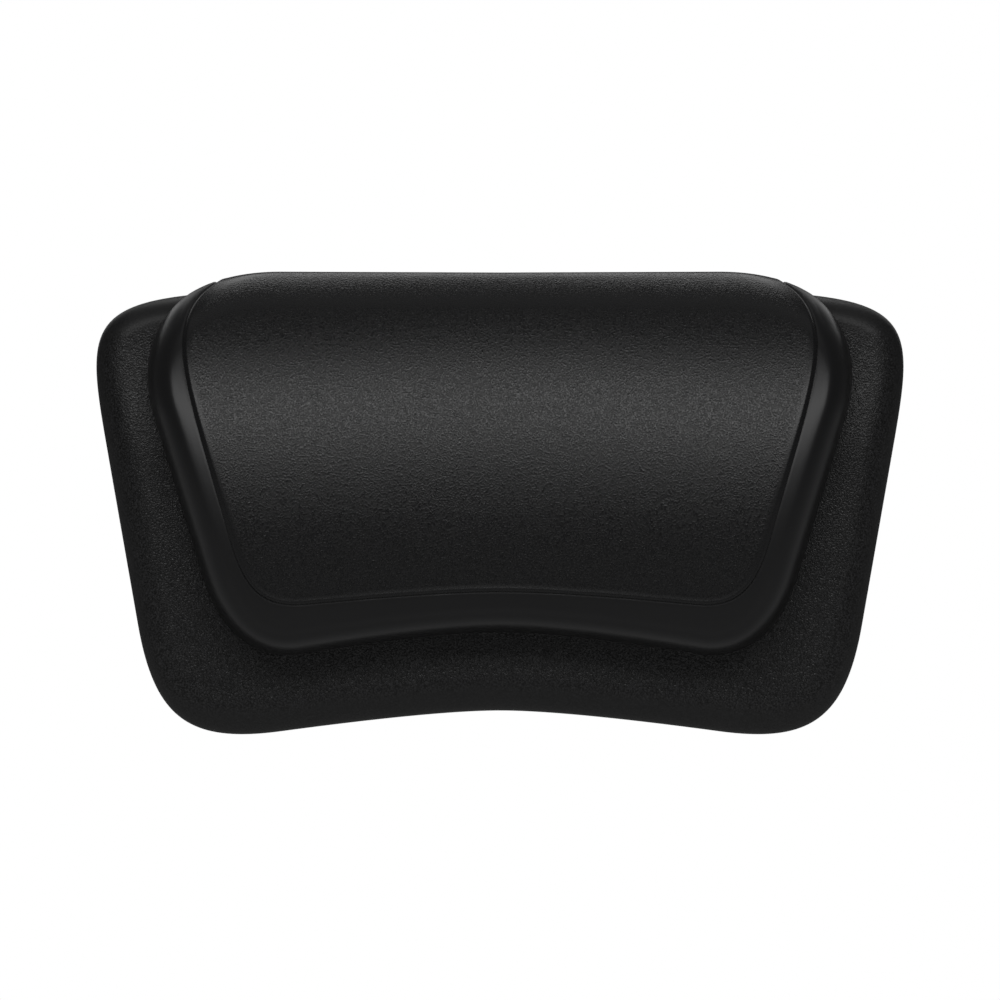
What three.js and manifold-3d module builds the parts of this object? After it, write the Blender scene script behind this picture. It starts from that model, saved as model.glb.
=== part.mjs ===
import * as THREE from "three";
import { mergeVertices } from "three/addons/utils/BufferGeometryUtils.js";
import Module from "manifold-3d";

// A bath pillow of moulded foam: a flat base pad with a raised head roll bonded to its front, held to
// the wall of a tub by four suction cups on its back. Millimetres. X runs along the pillow, Z is up, and
// the tub wall is the plane y = 0, with the pillow in front of it at negative y. A depth is a distance
// from that wall. The origin lies in the wall, in the middle of the four cups.

const wasm = await Module();
wasm.setup();

// Gap that pieces keep where they touch, and how far a cutter runs past what it cuts.
const clearance = 0.3;
const overrun = 2;
const weldDistance = 0.0001;

// Depths of the base pad and of the head roll.
const standOff = 9;
const baseThickness = 17;
const baseCrown = 3;
const headHeight = 37;
const cradle = 3;
const skinThickness = 1.6;
const panelRaise = 1;
const panelGroove = 0.8;

// Outline of the base pad. A corner is rounded off over a share of the side and of the top or bottom
// edge that would meet at its apex. The top and bottom edges rise from their corners to the middle.
// The middle of the pad lies a drop below the middle of the cups.
const baseHeight = 176.6;
const baseDrop = 6.3;
const baseTop = baseHeight / 2 - baseDrop;
const baseOutline = {
  top: baseTop,
  topHalfWidth: 162.3,
  topRise: 0,
  bottom: baseTop - baseHeight,
  bottomHalfWidth: 131.3,
  archRise: 14.3,
  archHalfFlat: 25,
  topCornerShares: { side: 0.356, edge: 0.829, fullness: 1 },
  bottomCornerShares: { side: 0.268, edge: 0.439, fullness: 0.76 },
};

// Flange of the base that shows round the head roll, and how far the roll stands above the base.
const flangeTopSide = 12.5;
const flangeBottomSide = 27.1;
const flangeBottom = 31.6;
const rollRise = 6;
const headOutline = {
  top: baseOutline.top + rollRise,
  topHalfWidth: baseOutline.topHalfWidth - flangeTopSide,
  bottom: baseOutline.bottom + flangeBottom,
  bottomHalfWidth: baseOutline.bottomHalfWidth - flangeBottomSide,
  topRise: -0.6,
  archRise: 13.1,
  archHalfFlat: baseOutline.archHalfFlat,
  topCornerShares: { side: 0.365, edge: 0.439, fullness: 0.6 },
  bottomCornerShares: { side: 0.231, edge: 0.362, fullness: 0.65 },
};

// Smooth border of the head roll round its raised panel. The panel's top edge rises from its corners
// past the crest of the roll, so that the panel runs on over the top.
const borderTopSide = 15.8;
const borderBottomSide = 9;
const borderBottom = 21.7;
const panelOverTop = 0.2;
const panelOutline = {
  top: headOutline.top + panelOverTop,
  topHalfWidth: headOutline.topHalfWidth - borderTopSide,
  bottom: headOutline.bottom + borderBottom,
  bottomHalfWidth: headOutline.bottomHalfWidth - borderBottomSide,
  topRise: 20.1,
  archRise: 7,
  archHalfFlat: baseOutline.archHalfFlat,
  topCornerShares: { side: 0.473, edge: 0.661, fullness: 0.85 },
  bottomCornerShares: { side: 0.2, edge: 0.312, fullness: 0.75 },
};

// Edges of the two cushions. The lift is the height of the widest ring above the back of the cushion,
// the tuck is how far the edge runs in below it, and the shoulder is the width of the rounding above.
const baseEdge = { lift: 5, tuck: 1.5, shoulder: 13 };
const headSeam = { lift: 1.5, tuck: 1.5, shoulder: 12.5 };
const headCrest = { lift: 6, tuck: 14, shoulder: 13 };
const headSoleShoulder = 18;
const bellyHeight = -18;
const bellyFall = 2.5;
const profileOverTop = 7;

// Back sheet, with a dished seat round each socket.
const sheetThickness = 1.8;
const seatDepth = 3;
const seatRadius = 16;
const seatWallRun = 2;

// Stiffening plate in the base foam: a ribbed moulding that carries the four sockets.
const plateThickness = 2.5;
const plateMargin = { top: 6.2, topSide: 13.4, bottom: 9.7, bottomSide: 9.4 };
const plateTopCornerShares = { side: 0.18, edge: 0.16, fullness: 0.55 };
const plateBottomCornerShares = { side: 0.18, edge: 0.27, fullness: 0.55 };
const ribHeight = 4;
const ribThickness = 1.6;
const ribPitch = 40;
const ribCount = 4;
const flowHoleRadius = 7;
const bossWall = 2.4;

// Places of the suction cups: two rows, each cup set in from the corner of the base above or below it.
const cupRowSpacing = 64;
const upperCupInset = 67.3;
const lowerCupInset = 56.3;

// Suction cup: a thin bell with a flat sealing rim, a collar, a neck, and a knob that plugs into a socket.
const cupRadius = 25;
const rimWidth = 3;
const rimThickness = 0.9;
const bellHeight = 7.2;
const bellWall = 1.7;
const bellKneeShare = 0.5;
const bellInsideShare = 0.68;
const bellOutsideShare = 0.8;
const rimFilletShare = 0.7;
const collarRadius = 8;
const neckRadius = 4.5;
const knobRadius = 6.5;
const knobLength = 6;
const knobChamfer = 2;
const tabWidth = 9;
const tabLength = 8;
const tabThickness = 1.2;

// Socket bush: a soft grommet that clips through the sheet and the plate and grips the knob.
const bushFlangeRadius = 12;
const bushFlangeThickness = 1.2;
const bushWall = 1.7;
const bushLipDepth = 3.5;
const bushInnerFlangeWidth = 2.3;
const bushInnerFlangeThickness = 1.5;
const bushEndThickness = 1.5;

// Depths and radii that follow from those sizes, in order from the wall to the front.
const seatFloor = standOff + seatDepth;
const bushFace = seatFloor - clearance - bushFlangeThickness;
const plateBack = seatFloor + sheetThickness + clearance;
const plateFront = plateBack + plateThickness;
const bushLipEnd = bushFace + bushLipDepth;
const knobBack = bushLipEnd + clearance;
const knobEnd = knobBack + knobLength;
const bushChamberEnd = knobEnd + clearance;
const bushEnd = bushChamberEnd + bushEndThickness;
const throatRadius = neckRadius + clearance;
const chamberRadius = knobRadius + clearance + clearance;
const bushRadius = chamberRadius + bushWall;
const bushBoreRadius = bushRadius + clearance;
const bushInnerFlangeRadius = bushRadius + bushInnerFlangeWidth;
const bushInnerFlangeEnd = plateFront + clearance + bushInnerFlangeThickness;
const bossRadius = bushInnerFlangeRadius + clearance + bossWall;
const innerGrow = -(skinThickness + clearance);

// Facets round a lathe, and samples along each stretch of half an outline.
const cupFacets = 20;
const bushFacets = 16;
const cushionSamples = { top: 4, topCorner: 8, side: 3, bottomCorner: 6, bottom: 5 };
const windowSamples = { top: 1, topCorner: 12, side: 1, bottomCorner: 7, bottom: 5 };
const sheetSamples = { top: 1, topCorner: 8, side: 1, bottomCorner: 6, bottom: 5 };
const plateSamples = { top: 1, topCorner: 4, side: 1, bottomCorner: 4, bottom: 3 };
const frontRingShares = [0.12, 0.27, 0.47, 0.75];
const backRingShares = [0.75, 0.35];
const spineShare = 0.7;
const spineHeightShare = 0.35;

// A closed geometry as a solid, turned so that its faces point out.
function solidOf(geometry) {
  const bare = geometry.clone();
  bare.deleteAttribute("normal");
  bare.deleteAttribute("uv");
  const merged = mergeVertices(bare, weldDistance);
  const triVerts = new Uint32Array(merged.index.array);
  const vertProperties = merged.attributes.position.array;
  const made = new wasm.Manifold(new wasm.Mesh({ numProp: 3, vertProperties, triVerts }));
  if (made.volume() > 0) return made;
  for (let i = 0; i < triVerts.length; i += 3) {
    [triVerts[i + 1], triVerts[i + 2]] = [triVerts[i + 2], triVerts[i + 1]];
  }
  return new wasm.Manifold(new wasm.Mesh({ numProp: 3, vertProperties, triVerts }));
}

// The geometry of a solid, for its mesh.
function geometryOf(solid) {
  const mesh = solid.getMesh();
  const geometry = new THREE.BufferGeometry();
  geometry.setAttribute("position", new THREE.BufferAttribute(mesh.vertProperties, mesh.numProp));
  geometry.setIndex(new THREE.BufferAttribute(mesh.triVerts, 1));
  geometry.computeVertexNormals();
  return geometry;
}

// Turned solid about the Y axis through (x, z), from a profile of [radius, depth] points.
function turned(profile, x, z, facets) {
  const points = profile.map(([radius, depth]) => new THREE.Vector2(radius, -depth));
  return solidOf(new THREE.LatheGeometry(points, facets).translate(x, 0, z));
}

// Plain round bar along Y between two depths.
function bar(radius, from, to, x, z, facets) {
  return turned([[0, from], [radius, from], [radius, to], [0, to]], x, z, facets);
}

// Flat shape in the plane of the wall, made solid between two depths.
function slab(shape, from, to) {
  const extruded = new THREE.ExtrudeGeometry(shape, { depth: to - from, bevelEnabled: false });
  return solidOf(extruded.rotateX(Math.PI / 2).translate(0, -from, 0));
}

// Box from its middle, its size along X and Z, and two depths.
function block(x, z, sizeX, sizeZ, from, to) {
  const box = new THREE.BoxGeometry(sizeX, to - from, sizeZ);
  return solidOf(box.translate(x, -(from + to) / 2, z));
}

// Rounded corner between two edges: a cubic that leaves each edge at a share of it from the apex.
function corner(before, apex, after, shareBefore, shareAfter, fullness) {
  const start = apex.clone().lerp(before, shareBefore);
  const end = apex.clone().lerp(after, shareAfter);
  const startHandle = start.clone().lerp(apex, fullness);
  const endHandle = end.clone().lerp(apex, fullness);
  return new THREE.CubicBezierCurve(start, startHandle, endHandle, end);
}

// Points down the right half of an outline, from the middle of its top to the middle of its bottom.
function halfOutline(o, samples) {
  const topMiddle = new THREE.Vector2(0, o.top + o.topRise);
  const topApex = new THREE.Vector2(o.topHalfWidth, o.top);
  const bottomApex = new THREE.Vector2(o.bottomHalfWidth, o.bottom);
  const archKnee = new THREE.Vector2(o.archHalfFlat, o.bottom + o.archRise);
  const archMiddle = new THREE.Vector2(0, archKnee.y);
  const { topCornerShares: high, bottomCornerShares: low } = o;
  const upper = corner(topMiddle, topApex, bottomApex, high.edge, high.side, high.fullness);
  const lower = corner(topApex, bottomApex, archKnee, low.side, low.edge, low.fullness);
  const stretches = [
    [new THREE.LineCurve(topMiddle, upper.v0), samples.top],
    [upper, samples.topCorner],
    [new THREE.LineCurve(upper.v3, lower.v0), samples.side],
    [lower, samples.bottomCorner],
    [new THREE.QuadraticBezierCurve(lower.v3, archKnee, archMiddle), samples.bottom],
  ];
  return stretches.flatMap(([curve, count], i) => curve.getPoints(count).slice(i ? 1 : 0));
}

// The whole outline as samples with their outward normals, from the middle of the top round to the right.
function outlineEdge(o, samples) {
  const right = halfOutline(o, samples);
  const left = right
    .slice(1, -1)
    .map((p) => new THREE.Vector2(-p.x, p.y))
    .reverse();
  const points = [...right, ...left];
  return points.map((point, i) => {
    const next = points[(i + 1) % points.length];
    const last = points[(i + points.length - 1) % points.length];
    const along = next.clone().sub(last).normalize();
    return { point, normal: new THREE.Vector2(-along.y, along.x) };
  });
}

// The outline moved inwards by an inset, as a shape. The middle of its straight top is left out.
function insetShape(o, inset, samples) {
  const edge = outlineEdge(o, samples).slice(1);
  return new THREE.Shape(edge.map(({ point, normal }) => point.clone().addScaledVector(normal, -inset)));
}

// Closed solid through rings of equal count, from the back to the front, with a middle point for each end.
function ringSolid(rings, backMiddle, frontMiddle) {
  const count = rings[0].length;
  const positions = [...rings.flat(), backMiddle, frontMiddle].flatMap((p) => [p.x, p.y, p.z]);
  const lastRing = (rings.length - 1) * count;
  const back = lastRing + count;
  const front = back + 1;
  const index = [];
  for (let i = 0; i < count; i += 1) {
    const next = (i + 1) % count;
    for (let start = 0; start < lastRing; start += count) {
      const a = start + i;
      const b = start + next;
      index.push(a, b, b + count, a, b + count, a + count);
    }
    index.push(next, i, back, lastRing + i, lastRing + next, front);
  }
  const geometry = new THREE.BufferGeometry();
  geometry.setAttribute("position", new THREE.Float32BufferAttribute(positions, 3));
  geometry.setIndex(index);
  return solidOf(geometry);
}

// A moulded cushion with a crowned front, as rings from the middle of its back, out over its edge and
// in again to the middle of its front. grow moves the whole surface out, start lifts its back, and run
// carries the back on, straight down, for a cutter.
function cushion(form, grow, start, run) {
  const samples = outlineEdge(form.outline, cushionSamples).map(({ point, normal }) => ({
    point,
    normal,
    edge: form.edgeAt(normal),
  }));
  const at = (x, z, height) => new THREE.Vector3(x, -(form.floor(z) + height), z);
  const front = (x, z) => form.front(x, z) + grow;
  const ring = (inset, height) =>
    samples.map(({ point, normal, edge }) => {
      const x = point.x - normal.x * (inset(edge) - grow);
      const z = point.y - normal.y * (inset(edge) - grow);
      return at(x, z, height(edge, x, z));
    });
  const shrunk = (outer, share, height) =>
    outer.map((p) => {
      const x = THREE.MathUtils.lerp(p.x, p.x * spineShare, share);
      const z = THREE.MathUtils.lerp(p.z, form.spineHeight, share);
      return at(x, z, height(x, z));
    });
  const back = ring((edge) => edge.tuck, () => start - run);
  const tucked = ring((edge) => edge.tuck, () => start);
  const under = ring(
    (edge) => edge.tuck * (1 - Math.SQRT1_2),
    (edge) => THREE.MathUtils.lerp(start, edge.lift, 1 - Math.SQRT1_2),
  );
  const widest = ring(() => 0, (edge) => edge.lift);
  const shoulder = Array.from({ length: form.shoulderRings }, (_, k) => {
    const turn = ((k + 1) / form.shoulderRings) * (Math.PI / 2);
    return ring(
      (edge) => edge.shoulder * (1 - Math.cos(turn)),
      (edge, x, z) => THREE.MathUtils.lerp(edge.lift, front(x, z), Math.sin(turn)),
    );
  });
  const rings = [
    ...backRingShares.map((share) => shrunk(back, share, () => start - run)),
    ...(run ? [back] : []),
    tucked,
    under,
    widest,
    ...shoulder,
    ...frontRingShares.map((share) => shrunk(shoulder.at(-1), share, front)),
  ];
  const middle = (height) => at(0, form.spineHeight, height);
  return ringSolid(rings, middle(start - run), middle(front(0, form.spineHeight)));
}

// Heights of the two cushions: the base is crowned from top to bottom, and the head roll falls back in
// a quarter of an ellipse from its belly to its crest, with a shallow cradle across its middle.
function baseFront(x, z) {
  const middle = (baseOutline.top + baseOutline.bottom + baseOutline.archRise) / 2;
  return baseThickness - baseCrown * ((z - middle) / (baseOutline.top - middle)) ** 2;
}

function headFront(x, z) {
  const up = (z - bellyHeight) / (headOutline.top + profileOverTop - bellyHeight);
  const down = (bellyHeight - z) / (bellyHeight - headOutline.bottom);
  const roll = headHeight * Math.sqrt(Math.max(0, 1 - up * up));
  const height = up > 0 ? roll : headHeight - bellyFall * down * down;
  const across = Math.min(1, Math.abs(x) / headOutline.bottomHalfWidth);
  return height - cradle * (1 - across * across) ** 2 * (height / headHeight);
}

const baseForm = {
  outline: baseOutline,
  floor: () => standOff,
  front: baseFront,
  edgeAt: () => baseEdge,
  shoulderRings: 3,
  spineHeight: THREE.MathUtils.lerp(baseOutline.bottom + baseOutline.archRise, baseOutline.top, spineHeightShare),
};

const headForm = {
  outline: headOutline,
  floor: (z) => standOff + baseFront(0, z),
  front: headFront,
  shoulderRings: 4,
  edgeAt(normal) {
    const up = THREE.MathUtils.smoothstep(normal.y, 0, 1);
    const down = Math.max(0, -normal.y) ** 2;
    const shoulder = THREE.MathUtils.lerp(headSeam.shoulder, headSoleShoulder, down);
    return {
      lift: THREE.MathUtils.lerp(headSeam.lift, headCrest.lift, up),
      tuck: THREE.MathUtils.lerp(headSeam.tuck, headCrest.tuck, up),
      shoulder: THREE.MathUtils.lerp(shoulder, headCrest.shoulder, up),
    };
  },
  spineHeight: THREE.MathUtils.lerp(headOutline.bottom + headOutline.archRise, headOutline.top, spineHeightShare),
};

// Cups in reading order, with the words that their pieces are named by.
const upperCupX = baseOutline.topHalfWidth - upperCupInset;
const lowerCupX = baseOutline.bottomHalfWidth - lowerCupInset;
const cups = [
  { place: "upper_left", x: -upperCupX, z: cupRowSpacing / 2 },
  { place: "upper_right", x: upperCupX, z: cupRowSpacing / 2 },
  { place: "lower_left", x: -lowerCupX, z: -cupRowSpacing / 2 },
  { place: "lower_right", x: lowerCupX, z: -cupRowSpacing / 2 },
];

// Grained front skin of the base pad: a shell that is open at its back.
function baseSkin() {
  return cushion(baseForm, 0, 0, 0).subtract(cushion(baseForm, -skinThickness, -clearance, overrun));
}

// Back sheet: it closes the shell, and is dished round each socket.
function backSheet() {
  const inset = baseEdge.tuck + skinThickness + clearance;
  const innerFace = standOff + sheetThickness;
  const seatInner = seatFloor + sheetThickness;
  const dish = [
    [bushBoreRadius, seatFloor],
    [seatRadius - seatWallRun, seatFloor],
    [seatRadius, standOff],
    [seatRadius + sheetThickness, standOff],
    [seatRadius + sheetThickness, innerFace],
    [seatRadius + sheetThickness - seatWallRun, seatInner],
    [bushBoreRadius, seatInner],
    [bushBoreRadius, seatFloor],
  ];
  let sheet = slab(insetShape(baseOutline, inset, sheetSamples), standOff, innerFace);
  for (const { x, z } of cups) {
    const opening = bar(seatRadius + sheetThickness / 2, standOff - overrun, innerFace + overrun, x, z, bushFacets);
    sheet = sheet.subtract(opening).add(turned(dish, x, z, bushFacets));
  }
  return sheet;
}

// The plate reaches a margin past the bosses of its outermost sockets.
const plateOutline = {
  top: cupRowSpacing / 2 + bossRadius + plateMargin.top,
  topHalfWidth: upperCupX + bossRadius + plateMargin.topSide,
  bottom: -(cupRowSpacing / 2 + bossRadius + plateMargin.bottom),
  bottomHalfWidth: lowerCupX + bossRadius + plateMargin.bottomSide,
  topRise: baseOutline.topRise,
  archRise: baseOutline.archRise,
  archHalfFlat: baseOutline.archHalfFlat,
  topCornerShares: plateTopCornerShares,
  bottomCornerShares: plateBottomCornerShares,
};

// The plate's body with its rim, ribs and bosses, all thickened by grow, and with its flow holes.
function plateBody(grow) {
  const back = plateBack - grow;
  const ribTop = plateFront + ribHeight + grow;
  const ribWidth = ribThickness + 2 * grow;
  const outside = insetShape(plateOutline, -grow, plateSamples);
  const inside = insetShape(plateOutline, ribThickness + grow, plateSamples);
  const tray = slab(inside, plateFront + grow, ribTop + overrun);
  let plate = slab(outside, back, ribTop).subtract(tray);
  for (const side of [1, -1]) {
    const z = (side * cupRowSpacing) / 2;
    const reach = side > 0 ? upperCupX : lowerCupX;
    plate = plate.add(block(0, z, 2 * reach, ribWidth, plateFront, ribTop));
  }
  for (let i = 0; i < ribCount; i += 1) {
    const x = (i - (ribCount - 1) / 2) * ribPitch;
    plate = plate.add(block(x, 0, ribWidth, cupRowSpacing, plateFront, ribTop));
  }
  for (let i = 0; i <= ribCount; i += 1) {
    const x = (i - ribCount / 2) * ribPitch;
    plate = plate.subtract(bar(flowHoleRadius - grow, back - overrun, ribTop + overrun, x, 0, bushFacets));
  }
  for (const { x, z } of cups) {
    plate = plate.add(bar(bossRadius + grow, plateFront, ribTop, x, z, bushFacets));
  }
  return plate;
}

// Stiffening plate: its bosses are bored for the sockets and bored wider for the sockets' inner flanges.
function insertPlate() {
  const ribTop = plateFront + ribHeight;
  let plate = plateBody(0);
  for (const { x, z } of cups) {
    plate = plate.subtract(bar(bushBoreRadius, plateBack - overrun, ribTop, x, z, bushFacets));
    const counterBore = bushInnerFlangeRadius + clearance;
    plate = plate.subtract(bar(counterBore, plateFront, ribTop + overrun, x, z, bushFacets));
  }
  return plate;
}

// Foam core of the base, moulded round the plate, the sockets and the dished seats of the sheet.
function baseFoam() {
  let foam = cushion(baseForm, innerGrow, sheetThickness + clearance, 0);
  foam = foam.subtract(plateBody(clearance));
  for (const { x, z } of cups) {
    const seat = bar(seatRadius + sheetThickness + clearance, standOff, plateBack, x, z, bushFacets);
    const end = bar(bushBoreRadius, plateFront, bushEnd + clearance, x, z, bushFacets);
    foam = foam.subtract(seat).subtract(end);
  }
  return foam;
}

// Inside of the head roll's skins, run out through the back for cutting.
function headInside() {
  return cushion(headForm, -skinThickness, 0, overrun);
}

// Smooth border skin: the head roll's shell round the panel, over its sides and its bottom.
function borderSkin() {
  const front = standOff + baseThickness + headHeight + overrun;
  const window = slab(insetShape(panelOutline, -panelGroove / 2, windowSamples), 0, front);
  return cushion(headForm, 0, clearance, 0).subtract(headInside()).subtract(window);
}

// Grained panel skin: it stands proud of the border and wraps over the crest of the roll.
function panelSkin() {
  const front = standOff + baseThickness + headHeight + panelRaise + overrun;
  const window = slab(insetShape(panelOutline, panelGroove / 2, windowSamples), 0, front);
  return cushion(headForm, panelRaise, clearance, 0).subtract(headInside()).intersect(window);
}

// Foam core of the head roll.
function headFoam() {
  return cushion(headForm, innerGrow, clearance, 0);
}

// Socket bush: an outer flange in the seat, a lip round the neck, a chamber for the knob, an inner
// flange behind the plate, and a closed end that keeps the foam out.
function socketBush(x, z) {
  const groove = bushFace + bushFlangeThickness;
  const innerFlange = plateFront + clearance;
  const profile = [
    [0, bushChamberEnd],
    [chamberRadius, bushChamberEnd],
    [chamberRadius, bushLipEnd],
    [throatRadius, bushLipEnd],
    [throatRadius, bushFace],
    [bushFlangeRadius, bushFace],
    [bushFlangeRadius, groove],
    [bushRadius, groove],
    [bushRadius, innerFlange],
    [bushInnerFlangeRadius, innerFlange],
    [bushRadius, bushInnerFlangeEnd],
    [bushRadius, bushEnd],
    [0, bushEnd],
  ];
  return turned(profile, x, z, bushFacets);
}

// Suction cup: the rim lies flat on the wall, and the tab that breaks the seal hangs from it.
function suctionCup(x, z) {
  const rimInside = cupRadius - rimWidth;
  const knee = THREE.MathUtils.lerp(collarRadius, rimInside, bellKneeShare);
  const bellRoof = bellHeight - bellWall;
  const collarEnd = bushFace - clearance;
  const profile = [
    [0, bellRoof],
    [collarRadius, bellRoof],
    [knee, bellRoof * bellInsideShare],
    [rimInside, 0],
    [cupRadius, 0],
    [cupRadius, rimThickness],
    [rimInside, rimThickness + bellWall * rimFilletShare],
    [knee, bellHeight * bellOutsideShare],
    [collarRadius, bellHeight],
    [collarRadius, collarEnd],
    [neckRadius, collarEnd],
    [neckRadius, knobBack],
    [knobRadius, knobBack],
    [knobRadius, knobEnd - knobChamfer],
    [knobRadius - knobChamfer, knobEnd],
    [0, knobEnd],
  ];
  const tabReach = cupRadius - rimWidth / 2 + tabLength;
  const tabTip = tabReach - tabWidth / 2;
  const tab = block(x, z - (rimInside + tabTip) / 2, tabWidth, tabTip - rimInside, clearance, tabThickness);
  const tip = bar(tabWidth / 2, clearance, tabThickness, x, z - tabTip, cupFacets / 2);
  return turned(profile, x, z, cupFacets).add(tab).add(tip);
}

// Materials: black polyurethane in three finishes, foam, moulded plastics and soft clear vinyl.
const finish = (color, roughness) => new THREE.MeshStandardMaterial({ color, roughness, metalness: 0 });
const materials = {
  coarseGrain: finish("#1b1b1c", 0.55),
  smoothSkin: finish("#19191a", 0.35),
  fineGrain: finish("#1d1d1e", 0.45),
  foam: finish("#2a2a2c", 0.95),
  sheet: finish("#202021", 0.6),
  polypropylene: finish("#d9d8d2", 0.5),
  elastomer: finish("#3a3a3c", 0.7),
  vinyl: finish("#dfe4e6", 0.15),
};

const pillow = new THREE.Group();

function addPiece(name, solid, material) {
  const piece = new THREE.Mesh(geometryOf(solid), material);
  piece.name = name;
  pillow.add(piece);
}

addPiece("base_skin", baseSkin(), materials.coarseGrain);
addPiece("base_foam", baseFoam(), materials.foam);
addPiece("back_sheet", backSheet(), materials.sheet);
addPiece("insert_plate", insertPlate(), materials.polypropylene);
addPiece("border_skin", borderSkin(), materials.smoothSkin);
addPiece("panel_skin", panelSkin(), materials.fineGrain);
addPiece("head_foam", headFoam(), materials.foam);
for (const { place, x, z } of cups) {
  addPiece(`socket_bush_${place}`, socketBush(x, z), materials.elastomer);
  addPiece(`suction_cup_${place}`, suctionCup(x, z), materials.vinyl);
}

export default pillow;
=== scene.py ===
import math

import bmesh
import bpy
import numpy as np
from mathutils import Matrix, Vector
from mathutils.geometry import delaunay_2d_cdt
from mathutils.kdtree import KDTree


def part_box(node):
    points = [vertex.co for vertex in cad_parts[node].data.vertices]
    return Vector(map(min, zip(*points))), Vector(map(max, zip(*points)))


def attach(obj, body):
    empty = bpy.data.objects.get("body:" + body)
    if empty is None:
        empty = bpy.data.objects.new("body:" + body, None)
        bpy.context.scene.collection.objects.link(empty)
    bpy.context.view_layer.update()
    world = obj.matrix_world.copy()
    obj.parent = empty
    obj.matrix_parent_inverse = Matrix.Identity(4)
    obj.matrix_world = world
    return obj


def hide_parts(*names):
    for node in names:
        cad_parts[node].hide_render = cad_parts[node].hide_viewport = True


# A bath pillow, section by section in the order in which it is put together. Metres. X runs along the
# pillow, Z is up, and it faces -Y from the tub wall at y = 0. A depth is a distance from the wall, so
# a point at depth d has y = -d.
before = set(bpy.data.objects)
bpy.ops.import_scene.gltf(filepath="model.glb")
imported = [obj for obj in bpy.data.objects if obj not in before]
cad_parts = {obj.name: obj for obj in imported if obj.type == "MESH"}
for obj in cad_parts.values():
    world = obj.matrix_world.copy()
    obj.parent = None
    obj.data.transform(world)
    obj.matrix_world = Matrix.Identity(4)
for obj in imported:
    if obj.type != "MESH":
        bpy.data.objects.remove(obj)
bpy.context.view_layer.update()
places = ("upper_left", "upper_right", "lower_left", "lower_right")


# Insert plate: the ribbed moulding inside the base that carries the cups' sockets. It is injection
# moulded from polypropylene in one piece, and the foam of the base is poured round it. It keeps its
# CAD shape.
plate_colour = "#d9d8d2"
plate_roughness = 0.42
plate_roughness_range = (0.36, 0.5)
plate_flow_width = 0.006
plate_flow_depth = 0.0001
plate_flow_strength = 0.3
plate_haze_weight = 0.2
plate_haze_depth = 0.002
polypropylene_ior = 1.49


def linear(hex_colour):
    """An sRGB hex colour as linear red, green, blue and alpha."""
    shades = [int(hex_colour[i : i + 2], 16) / 255 for i in (1, 3, 5)]
    return (*[s / 12.92 if s <= 0.04045 else ((s + 0.055) / 1.055) ** 2.4 for s in shades], 1.0)


def add_node(tree, kind, settings, links):
    """A node of a kind, with its settings, and with a value or another node's output on its inputs."""
    node = tree.nodes.new(kind)
    for name, value in settings.items():
        setattr(node, name, value)
    for name, value in links.items():
        if isinstance(value, bpy.types.NodeSocket):
            tree.links.new(value, node.inputs[name])
        else:
            node.inputs[name].default_value = value
    return node


def new_material(name, colour, roughness, ior):
    """A material with its plain values set, and its tree and its shader to add a pattern to."""
    material = bpy.data.materials.new(name)
    material.use_nodes = True
    shader = material.node_tree.nodes["Principled BSDF"]
    shader.inputs["Base Color"].default_value = linear(colour)
    shader.inputs["Roughness"].default_value = roughness
    shader.inputs["IOR"].default_value = ior
    return material, material.node_tree, shader


# Moulded polypropylene looks milky, as light spreads a little way under its surface, and satin, with
# faint streaks where it flowed through the tool.
polypropylene, tree, shader = new_material(
    "moulded_polypropylene", plate_colour, plate_roughness, polypropylene_ior
)
shader.inputs["Subsurface Weight"].default_value = plate_haze_weight
shader.inputs["Subsurface Radius"].default_value = (plate_haze_depth,) * 3
where = add_node(tree, "ShaderNodeTexCoord", {}, {}).outputs["Object"]
flow = add_node(
    tree, "ShaderNodeTexNoise", {}, {"Vector": where, "Scale": 1 / plate_flow_width, "Detail": 4.0}
)
glossy, dull = plate_roughness_range
gloss = add_node(
    tree, "ShaderNodeMapRange", {}, {"Value": flow.outputs["Fac"], "To Min": glossy, "To Max": dull}
)
tree.links.new(gloss.outputs["Result"], shader.inputs["Roughness"])
relief = add_node(
    tree,
    "ShaderNodeBump",
    {},
    {"Height": flow.outputs["Fac"], "Strength": plate_flow_strength, "Distance": plate_flow_depth},
)
tree.links.new(relief.outputs["Normal"], shader.inputs["Normal"])
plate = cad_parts["insert_plate"]
plate.data.materials.clear()
plate.data.materials.append(polypropylene)


# Base core: the foam of the base pad, polyurethane poured behind the cover, round the plate and round
# the ends of the sockets, which leave their pockets in it. Its front is crowned, and it falls in a
# soft step to the flange above the roll.
stand_off = 0.009
base_thickness = 0.017
base_crown = 0.003
base_lift = 0.005
base_tuck = 0.0015
base_side_shoulder = 0.013
base_top_shoulder = 0.009
base_bend = 1.0
step_start = 0.0175
step_end = 0.0625
foam_colour = "#262628"
foam_cell_shade_colour = "#1c1c1d"
foam_roughness = 0.95
foam_ior = 1.45
foam_cell_width = 0.0011
foam_cell_depth = 0.0004

# What lies round the foam and in it: the skins, the sheet, the plate and the sockets.
skin_thickness = 0.0016
sheet_thickness = 0.0018
clearance = 0.0003
plate_back = 0.0141
bush_end = 0.0221
foam_seat_radius = 0.0181
bore_radius = 0.0091
bush_boxes = [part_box(f"socket_bush_{place}") for place in places]
seats = np.array([((low + high) / 2).xz for low, high in bush_boxes])

# How finely the moulded forms are meshed.
ring_points = 480
back_rings = 25
tuck_rings = 7
shoulder_rings = 25
front_rings = 45
seat_facets = 72
crease_angle = math.radians(50)
joining_distance = 1e-6
plate_joining_distance = 1e-5

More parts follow.
